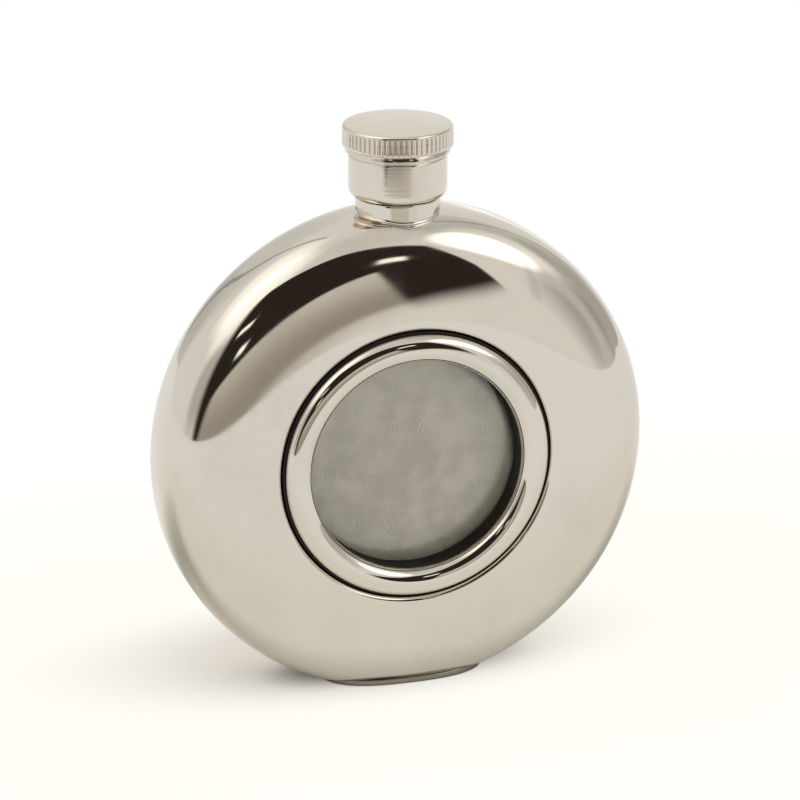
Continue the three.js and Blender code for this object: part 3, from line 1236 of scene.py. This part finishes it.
@dataclass
class Neck(Assembly):
    """The threaded neck tube and the collar on its saddle flange."""

    shells: Optional[Body] = None
    bore: float = 5.6
    radius: float = span("neck_tube", 0)[1]
    bottom: float = span("neck_tube", 2)[0]
    top: float = span("neck_tube", 2)[1]
    edge: float = 0.4
    thread_height: float = 0.55
    thread_sunk: float = 0.05
    thread_start: float = 3.2
    thread_turns: float = 2.5
    collar_wall: float = 1.05
    collar_top: float = span("neck_collar", 2)[1]
    collar_edge: float = 0.25
    collar_support: float = 0.525
    fillet: float = 0.35
    flange: float = 0.45
    flange_height: float = 0.5
    flange_gap: float = 0.03
    saddle_share: float = 0.5
    seat: float = 90.1
    sides: int = 160

    def tube(self) -> Piece:
        """Turns the tube and joins its thread to it.

        Returns:
            The new piece.
        """
        edge = self.edge
        profile = [(self.bore, self.bottom), (self.radius, self.bottom)]
        profile += arc((self.radius - edge, self.top - edge), edge, Quarter.OUT, Quarter.ALONG, steps=8)
        profile += [(self.bore + edge / 2, self.top), (self.bore, self.top - edge / 2)]
        tube = Bench.turn("neck", profile, Spindle.NECK, self.sides)
        root, crest = self.radius - self.thread_sunk, self.radius + self.thread_height
        thread = Thread(root, crest, self.collar_top + self.thread_start, self.thread_turns)
        Bench.combine(tube, thread.build("neck_thread"), "UNION")
        return tube

    def collar(self) -> Piece:
        """Turns the collar, then sets the rings of its flange over the body's saddle one by one.

        Returns:
            The new piece.
        """
        edge, top = self.collar_edge, self.collar_top
        hole = self.radius + FIT_GAP
        outer = hole + self.collar_wall
        rim = outer + self.flange
        low = WINDOW_HEIGHT + self.shells.radius / 2
        rings = [(outer, self.collar_support)]
        rings += arc((outer + self.fillet, self.fillet), self.fillet, Quarter.IN, Quarter.AGAINST, steps=6)
        rings += arc((rim - edge, -edge), edge, Quarter.ALONG, Quarter.OUT, steps=4)
        rings += [(rim, -self.flange_height), (hole, -self.flange_height)]
        profile = [(hole, top)]
        profile += arc((outer - edge, top - edge), edge, Quarter.ALONG, Quarter.OUT, steps=5)
        profile += [(outer, top - edge * 2)]
        profile += [(radius, low - step) for step, (radius, _) in enumerate(rings)]
        collar = Bench.turn("collar", profile, Spindle.NECK, self.sides)
        saddle = self.shells.outline()
        for step, (_, lift) in enumerate(rings):
            self.lower(collar, saddle, low - step, self.flange_gap + self.flange_height + lift)
        bpy.data.objects.remove(saddle)
        return collar

    def lower(self, collar: Piece, saddle: Piece, level: float, lift: float) -> None:
        """Moves one ring of the flange onto the body and flattens the saddle that it then follows.

        Args:
            collar: The turned collar.
            saddle: Outline of the body.
            level: Height of the ring before it is moved, which names the ring.
            lift: How far the ring ends above the body.
        """
        ring = collar.vertex_groups.new(name="ring")
        members = [v.index for v in collar.data.vertices if abs(v.co.z / MM - level) < RING_SLACK]
        ring.add(members, 1, "REPLACE")
        Bench.modify(
            collar,
            "SHRINKWRAP",
            target=saddle,
            vertex_group=ring.name,
            wrap_method="PROJECT",
            use_project_z=True,
            use_positive_direction=True,
            use_negative_direction=False,
            cull_face="OFF",
            offset=-lift * MM,
        )
        Bench.pick(collar, lambda place: False)
        bpy.ops.object.vertex_group_select()
        Bench.scale((1, 1, self.saddle_share), (0, 0, (self.seat + lift) * MM))
        collar.vertex_groups.clear()

    def build(self) -> None:
        """Makes and dresses the tube and the collar."""
        self.dress(self.tube(), "neck_steel", "neck_tube")
        self.dress(self.collar(), "polished_steel", "neck_collar")


@dataclass
class Cap(Assembly):
    """The knurled screw cap with its threaded liner."""

    body: str = "cap"
    bottom: float = span("cap_shell", 2)[0]
    top: float = span("cap_shell", 2)[1]
    crest: float = span("cap_shell", 0)[1]
    wall: float = 0.6
    mouth: float = 7.6
    roll: float = 1.6
    crown: float = 0.4
    dome: float = 9.6
    dome_steps: int = 14
    waist: float = 9.4
    flare: float = 9.8
    flare_height: float = 1.05
    flare_bulge: float = 0.08
    flare_edge: float = 0.1
    groove: float = 0.55
    groove_depth: float = 0.2
    rim: float = 0.45
    undercut: float = 0.15
    ridges: int = 64
    ridge_top: float = 0.95
    ridge_length: float = 3.2
    ridge_height: float = 0.29
    ridge_rings: tuple[float, ...] = (0.04, 0.09, 0.5, 0.91, 0.96)
    ridge_reach: float = 0.45
    valley_power: float = 3.4
    columns: int = 8
    liner_radius: float = span("cap_liner", 0)[1]
    liner_bottom: float = span("cap_liner", 2)[0]
    liner_top: float = span("cap_liner", 2)[1]
    liner_wall: float = 0.8
    liner_edge: float = 0.3
    liner_lead: float = 0.2
    liner_sides: int = 160
    seal_top: float = span("cap_seal", 2)[1]
    thread_height: float = 0.55
    thread_sunk: float = 0.05
    thread_start: float = 2.4
    thread_turns: float = 2

    def shell(self) -> Piece:
        """Turns the cap and presses the valleys of the knurl into its head.

        Returns:
            The new piece.
        """
        bore = self.liner_radius + FIT_GAP
        skirt = bore + self.wall
        neck = skirt - self.groove_depth
        knurl_top = self.top - self.ridge_top
        knurl_bottom = knurl_top - self.ridge_length
        waist = knurl_bottom - self.undercut
        flare = waist - self.flare_height
        lip = flare - self.flare_edge
        rim = lip - self.groove - self.rim
        rolled = self.mouth + self.wall
        roll_top = self.bottom + self.roll
        edge = self.top - self.crown
        ceiling = self.liner_top + FIT_GAP
        down, out = Quarter.AGAINST, Quarter.ROUND
        head = (self.crest - self.undercut, knurl_bottom)
        profile = [(0, ceiling), (bore, ceiling), (bore, roll_top)]
        profile += [(self.mouth, self.bottom + self.wall), (self.mouth, self.bottom)]
        profile += arc((rolled, roll_top), (skirt - rolled, self.roll), down, out, steps=16)
        profile += arc((neck, rim), (self.groove_depth, self.rim), Quarter.OUT, Quarter.ALONG, steps=8)
        profile += [(neck, lip)]
        profile += arc((self.flare - self.flare_edge, flare), self.flare_edge, down, out, steps=5)
        profile += bow((self.flare, flare), (self.waist, waist), self.flare_bulge, steps=12)[1:]
        profile += arc(head, self.undercut, down, out, steps=5)
        profile += [(self.crest, knurl_bottom + self.ridge_length * share) for share in self.ridge_rings]
        shoulder = (self.crest - self.dome, edge - knurl_top)
        profile += arc((self.dome, knurl_top), shoulder, Quarter.OUT, Quarter.ALONG, steps=10)
        shares = [1 - step / self.dome_steps for step in range(1, self.dome_steps + 1)]
        profile += [(self.dome * share, edge + self.crown * (1 - share**2)) for share in shares]
        cap = Bench.turn("cap", profile, Spindle.NECK, self.ridges * self.columns)
        self.press_valleys(cap, knurl_bottom + self.ridge_length / 2)
        return cap

    def press_valleys(self, cap: Piece, middle: float) -> None:
        """Draws the points between the ridges in to the knurl's root, a column kind at a time.

        Args:
            cap: The turned cap.
            middle: Height of the knurl's middle.
        """
        for column in range(1, self.columns // 2 + 1):
            drop = ((1 - math.cos(TAU * column / self.columns)) / 2) ** self.valley_power

            def in_valley(place: Vector) -> bool:
                """Tells whether a point lies on the knurl in this kind of column.

                Args:
                    place: Place of the point, in metres.

                Returns:
                    True for a point that is drawn in.
                """
                phase = math.atan2(place.y, place.x) / TAU * self.ridges * self.columns
                kind = round(phase) % self.columns
                proud = math.hypot(place.x, place.y) / MM > self.crest - self.ridge_height / 2
                inside = abs(place.z / MM - middle) < self.ridge_length * self.ridge_reach
                return proud and inside and min(kind, self.columns - kind) == column

            Bench.pick(cap, in_valley)
            scale = 1 - self.ridge_height * drop / self.crest
            Bench.scale((scale, scale, 1), (0, 0, 0))

    def liner(self) -> Piece:
        """Moulds the threaded plastic cup inside the cap.

        Returns:
            The new piece.
        """
        edge = self.liner_edge
        bore = self.liner_radius - self.liner_wall
        profile = [(0, self.seal_top)]
        profile += arc((bore - edge, self.seal_top - edge), edge, Quarter.ALONG, Quarter.OUT, steps=4)
        profile += [(bore, self.liner_bottom + edge), (bore + self.liner_lead, self.liner_bottom)]
        profile += [(self.liner_radius, self.liner_bottom), (self.liner_radius, self.liner_top)]
        profile += [(0, self.liner_top)]
        cup = Bench.turn("cap_cup", profile, Spindle.NECK, self.liner_sides)
        root, crest = bore + self.thread_sunk, bore - self.thread_height
        thread = Thread(root, crest, self.liner_bottom + self.thread_start, self.thread_turns)
        Bench.combine(cup, thread.build("cap_thread"), "UNION")
        return cup

    def build(self) -> None:
        """Makes and dresses the cap and its liner."""
        self.dress(self.shell(), "cap_steel", "cap_shell")
        self.dress(self.liner(), "liner_plastic", "cap_liner")


@dataclass
class Seal(Assembly):
    """The soft disc that closes the neck's mouth."""

    body: str = "seal"
    radius: float = span("cap_seal", 0)[1]
    bottom: float = span("cap_seal", 2)[0]
    top: float = span("cap_seal", 2)[1]
    edge: float = 0.2
    sides: int = 120

    def disc(self) -> Piece:
        """Turns the disc with rounded edges.

        Returns:
            The new piece.
        """
        edge, outer = self.edge, self.radius - self.edge
        profile = [(0, self.bottom)]
        profile += arc((outer, self.bottom + edge), edge, Quarter.AGAINST, Quarter.ROUND, steps=4)
        profile += arc((outer, self.top - edge), edge, Quarter.OUT, Quarter.ALONG, steps=4)
        profile += [(0, self.top)]
        return Bench.turn("seal_disc", profile, Spindle.NECK, self.sides)

    def build(self) -> None:
        """Makes and dresses the seal."""
        self.dress(self.disc(), "seal_silicone", "cap_seal")


class Edge(NamedTuple):
    """A soft straight edge on the tent's front; the panel lies where across and up add to less than limit."""

    across: float
    up: float
    limit: float
    soft: float


class Lamp(NamedTuple):
    """A small light beyond the opening, by its sides on the tent's front."""

    left: float
    right: float
    bottom: float
    top: float


class Glow(NamedTuple):
    """A brighter or duller round place of the cloth, with its radii in degrees."""

    azimuth: float
    elevation: float
    outer: float
    inner: float
    strength: float


class Crease(NamedTuple):
    """A dark line in the cloth through two headings, with half its length in degrees and half its width."""

    upper: Point
    lower: Point
    half_length: float
    half_width: float
    level: float


@dataclass
class Studio:
    """Camera, floor and the light tent that the steel reflects."""

    shells: Body
    azimuth: float = -17.57
    elevation: float = 19.81
    distance: float = 760
    rise: float = 8.36
    aside: float = 0.42
    lens: float = 180.7
    sensor: float = 36
    clip: Point = (10, 50000)
    floor_size: float = 6000
    floor_front: float = 260
    floor_colour: Colour = (0.9, 0.86, 0.79)
    floor_mottle: float = 1.02
    floor_spots: float = 14
    floor_detail: int = 2
    floor_roughness: float = 0.9
    floor_glow: Colour = (1, 0.985, 0.92)
    # Painted contact shadow on the table beside the foot's two ends.
    contact_shadow_shift: Triple = (-16.5, 0, 0)
    contact_shadow_stretch: Triple = (1, 1.3, 0)
    contact_shadow_limits: Point = (1, 13)
    contact_shadow_level: float = 0.5
    # Where the painted contact shadow along the foot's outline fades out, as shares of the outline.
    foot_limits: Point = (1, 1.1)
    shade_shift: Triple = (8, -26, 0)
    shade_stretch: Triple = (1, 2.2, 1)
    shade_limits: Point = (20, 70)
    far_limits: Point = (100, 300)
    # Levels of the table's glow as the steel sees it; the low levels close to the flask are painted shadow in
    # the reflection.
    mirrored_far: float = 0.95
    mirrored_before: float = 0.89
    mirrored_behind: float = 0.45
    behind_limits: Point = (45, 165)
    side_limits: Point = (-22, 5)
    tent_azimuth: float = -25
    tent_tint: Colour = (1, 0.985, 0.955)
    tent_level: float = 0.9
    front_limits: Point = (0.05, 0.15)
    opening_colour: Colour = (0.028, 0.022, 0.018)
    opening: tuple[Edge, ...] = (
        Edge(-0.064, 1, 1.04, 0.03),
        Edge(-1.38, 1, 1.489, 0.04),
        Edge(-1, 0, 0.45, 0.11),
        Edge(0.27, 1, 1.182, 0.03),
        Edge(1, 0.364, 1.438, 0.025),
        Edge(1, 0, 1.322, 0.02),
        Edge(0.705, -1, 0.91, 0.09),
    )
    flap: tuple[Edge, ...] = (
        Edge(-0.235, 1, 0.058, 0.02),
        Edge(1, 0.348, 0.806, 0.015),
        Edge(-1, 0.61, 0.16, 0.08),
    )
    flap_high: Colour = (0.71, 0.68, 0.61)
    flap_low: Colour = (0.385, 0.36, 0.312)
    flap_limits: Point = (-0.22, 0.16)
    hem_limits: Point = (-0.3, -0.24)
    lamps: tuple[Lamp, ...] = (
        Lamp(0.71, 0.87, 0.385, 0.49),
        Lamp(-0.25, -0.09, 0.4, 0.46),
        Lamp(-0.02, 0.06, 0.15, 0.21),
    )
    lamp_soft: float = 0.02
    lamp_colour: Colour = (1.6, 1.55, 1.45)
    glows: tuple[Glow, ...] = (
        Glow(46, 34, 18, 12, 1.0),
        Glow(63, 38, 22, 8, 0.3),
        Glow(-70, 48, 30, 8, 0.6),
        Glow(-108, 53, 30, 8, 0.5),
        Glow(97, 10, 34, 8, -0.38),
        Glow(62, 4, 24, 6, -0.25),
        Glow(47, 2, 14, 5, -0.15),
        Glow(88, 56, 34, 10, -0.24),
        Glow(-58, 10, 20, 6, -0.33),
        Glow(-168, 18, 26, 8, -0.15),
        Glow(-164, 3, 15, 4, -0.18),
        Glow(155, -6, 16, 5, 0.35),
        Glow(10, 62, 28, 8, -0.12),
    )
    creases: tuple[Crease, ...] = (
        Crease((-159, 53), (-164, 15), 34, 0.028, 0.55),
        Crease((107, 52), (121, 22), 30, 0.028, 0.55),
        Crease((36, 3), (50, 22), 13, 0.03, 0.87),
    )
    crease_fade: float = 5
    crease_core: float = 0.3

    def camera(self) -> None:
        """Stands the camera where the picture was taken from."""
        back = heading(self.azimuth, self.elevation)
        right = heading(self.azimuth + 90, 0)
        middle = Vector((0, 0, WINDOW_HEIGHT))
        stand = middle + back * self.distance
        aim = middle + back.cross(right) * self.rise + right * self.aside
        camera = Bench.add(bpy.ops.object.camera_add, location=stand * MM)
        camera.rotation_euler = (aim - stand).to_track_quat("-Z", "Y").to_euler()
        camera.data.lens = self.lens
        camera.data.sensor_width = self.sensor
        camera.data.clip_start, camera.data.clip_end = metres(self.clip)
        bpy.context.scene.camera = camera

    def floor(self) -> None:
        """Lays the pale table."""
        middle = self.floor_size / 2 - self.floor_front
        floor = Bench.add(
            bpy.ops.mesh.primitive_plane_add, size=self.floor_size * MM, location=(0, middle * MM, 0)
        )
        floor.name = "floor"
        Bench.settle(floor)
        floor.data.materials.append(self.table())

    def table(self) -> Material:
        """Makes the table's material: cloth with a painted contact shadow, which fades into the white
        backdrop.

        Returns:
            The finished material.
        """
        sheet = Sheet("pale_table")
        wires = sheet.wires
        clear = self.beside_foot(sheet)
        folded = wires.vector("ABSOLUTE", sheet.place)["Vector"]
        # Painted contact shadow: the cloth darkens beside the foot's ends and along its outline.
        near = wires.reach(folded, self.contact_shadow_stretch, metres(self.contact_shadow_shift))
        lit = wires.math("MULTIPLY", wires.ramp(near, metres(self.contact_shadow_limits)), clear)
        mottle = wires.noise(sheet.place, self.floor_spots, self.floor_detail)
        cloth = wires.blend(mottle, self.floor_colour, toned(self.floor_colour, self.floor_mottle))
        under = toned(self.floor_colour, self.contact_shadow_level)
        sheet.put(Base_Color=wires.blend(lit, under, cloth), Roughness=self.floor_roughness)
        # Seen in the steel, the table glows less close to the flask, most behind it: painted shadow in the
        # reflection.
        away = wires.reach(sheet.place, self.shade_stretch, metres(self.shade_shift))
        far = metres(self.far_limits)
        before = wires.ramp(away, far, (self.mirrored_before, self.mirrored_far))
        behind = wires.ramp(away, metres(self.behind_limits), (self.mirrored_behind, self.mirrored_far))
        mirrored = wires.ramp(sheet.axis(1), metres(self.side_limits), (before, behind))
        path = wires.tree.nodes.new("ShaderNodeLightPath").outputs
        strength = wires.math("MAXIMUM", mirrored, wires.math("SUBTRACT", 1, path["Is Glossy Ray"]))
        white = wires.blend(wires.ramp(away, far), self.floor_glow, WHITE)
        glow = wires.add("ShaderNodeEmission", Color=white, Strength=strength)
        rays = [path[f"Is {kind} Ray"] for kind in ("Glossy", "Transmission", "Camera")]
        open_floor = wires.ramp(away, metres(self.shade_limits))
        mix = wires.add("ShaderNodeMixShader")
        wires.feed(mix.inputs[0], wires.math("MULTIPLY", wires.math("MAXIMUM", *rays), clear, open_floor))
        wires.feed(mix.inputs[1], sheet.shader.outputs[0])
        wires.feed(mix.inputs[2], glow.outputs[0])
        wires.feed(sheet.output.inputs["Surface"], mix.outputs[0])
        return sheet.material

    def beside_foot(self, sheet: Sheet) -> Socket:
        """Masks the table outside the foot's outline; the mask rises over a thin band just outside it, which
        paints a contact shadow along the outline.

        Args:
            sheet: Sheet of the table.

        Returns:
            The mask, 0 under the foot.
        """
        wires = sheet.wires
        powers = []
        for axis, half in enumerate((self.shells.foot_half_length, self.shells.foot_half_depth)):
            share = wires.math("ABSOLUTE", wires.math("DIVIDE", sheet.axis(axis), half * MM))
            powers.append(wires.math("POWER", share, self.shells.foot_power))
        return wires.ramp(wires.math("ADD", *powers), self.foot_limits)

    def tent(self) -> None:
        """Builds the light: plain white for the floor and the camera, a tent for the steel."""
        world = bpy.data.worlds.new("tent")
        bpy.context.scene.world = world
        world.use_nodes = True
        tree = world.node_tree
        tree.nodes.clear()
        wires = Wires(tree)
        way = tree.nodes.new("ShaderNodeTexCoord").outputs["Generated"]
        path = tree.nodes.new("ShaderNodeLightPath").outputs
        mirrored = wires.math("MAXIMUM", path["Is Glossy Ray"], path["Is Transmission Ray"])
        colour = wires.blend(mirrored, WHITE, self.tent_inside(wires, way))
        background = wires.add("ShaderNodeBackground", Color=colour, Strength=1.0)
        output = tree.nodes.new("ShaderNodeOutputWorld")
        wires.feed(output.inputs["Surface"], background.outputs[0])

    def tent_inside(self, wires: Wires, way: Socket) -> Socket:
        """Colours the tent: pale cloth, and in front an opening with a flap and lamps beyond.

        Args:
            wires: Wires of the world.
            way: Direction that is looked in.

        Returns:
            The colour.
        """
        ahead = self.along(wires, way, heading(self.tent_azimuth, 0))
        near = wires.math("MAXIMUM", ahead, self.front_limits[0])
        across = wires.math("DIVIDE", self.along(wires, way, heading(self.tent_azimuth + 90, 0)), near)
        height = wires.math("DIVIDE", self.along(wires, way, heading(0, 90)), near)
        cloth = wires.blend(wires.ramp(height, self.flap_limits), self.flap_low, self.flap_high)
        cloth = wires.blend(wires.ramp(height, self.hem_limits), self.flap_high, cloth)
        inside = wires.blend(self.panel(wires, across, height, self.flap), self.opening_colour, cloth)
        for lamp in self.lamps:
            sides = (Edge(-1, 0, -lamp.left, self.lamp_soft), Edge(1, 0, lamp.right, self.lamp_soft))
            sides += (Edge(0, -1, -lamp.bottom, self.lamp_soft), Edge(0, 1, lamp.top, self.lamp_soft))
            inside = wires.blend(self.panel(wires, across, height, sides), inside, self.lamp_colour)
        facing = wires.ramp(ahead, self.front_limits)
        hole = wires.math("MULTIPLY", facing, self.panel(wires, across, height, self.opening))
        lit = wires.vector("MULTIPLY", self.tent_tint, self.tent_levels(wires, way))["Vector"]
        return wires.blend(hole, lit, inside)

    @staticmethod
    def along(wires: Wires, way: Socket, axis: Vector) -> Socket:
        """Measures a direction along an axis."""
        return wires.vector("DOT_PRODUCT", way, axis)["Value"]

    @staticmethod
    def panel(wires: Wires, across: Socket, height: Socket, edges: tuple[Edge, ...]) -> Socket:
        """Makes the mask of a soft-edged panel on the tent's front.

        Args:
            wires: Wires of the world.
            across: Place across the front.
            height: Place up the front.
            edges: Straight edges that bound the panel.

        Returns:
            The mask.
        """
        masks = []
        for edge in edges:
            side = wires.math("MULTIPLY", across, edge.across)
            place = wires.math("ADD", side, wires.math("MULTIPLY", height, edge.up))
            masks.append(wires.ramp(place, (edge.limit - edge.soft, edge.limit + edge.soft), (1, 0)))
        return wires.math("MULTIPLY", *masks)

    def tent_levels(self, wires: Wires, way: Socket) -> Socket:
        """Shades the tent's cloth, with brighter and duller places and creases.

        Args:
            wires: Wires of the world.
            way: Direction that is looked in.

        Returns:
            The level of the cloth's light.
        """
        level = self.tent_level
        for glow in self.glows:
            near = self.along(wires, way, heading(glow.azimuth, glow.elevation))
            limits = tuple(math.cos(math.radians(angle)) for angle in (glow.outer, glow.inner))
            level = wires.math("ADD", level, wires.math("MULTIPLY", wires.ramp(near, limits), glow.strength))
        for crease in self.creases:
            upper, lower = heading(*crease.upper), heading(*crease.lower)
            off = wires.math("ABSOLUTE", self.along(wires, way, upper.cross(lower).normalized()))
            near = self.along(wires, way, (upper + lower).normalized())
            lengths = (crease.half_length + self.crease_fade, crease.half_length)
            limits = tuple(math.cos(math.radians(angle)) for angle in lengths)
            widths = (crease.half_width * self.crease_core, crease.half_width)
            line = wires.math("MULTIPLY", wires.ramp(near, limits), wires.ramp(off, widths, (1, 0)))
            level = wires.math("MULTIPLY", level, wires.ramp(line, UNIT, (1, crease.level)))
        return level

    def build(self) -> None:
        """Sets up the camera, the floor, the light and the view."""
        self.camera()
        self.floor()
        self.tent()
        bpy.context.scene.view_settings.view_transform = "Standard"
        LOG.info("studio: camera at %.1f degrees, tent and floor", self.azimuth)


def main() -> None:
    """Builds the flask and its studio in order."""
    logging.basicConfig(level=logging.INFO, format="%(name)s %(relativeCreated)d ms: %(message)s")
    shop = Workshop()
    materials = {finish.name: finish.build(shop) for finish in FINISHES}
    body = Body(materials)
    fittings = (Window(materials), Neck(materials, shells=body), Cap(materials), Seal(materials))
    for assembly in (body, *fittings):
        assembly.build()
    Studio(body).build()


if __name__ == "__main__":
    main()
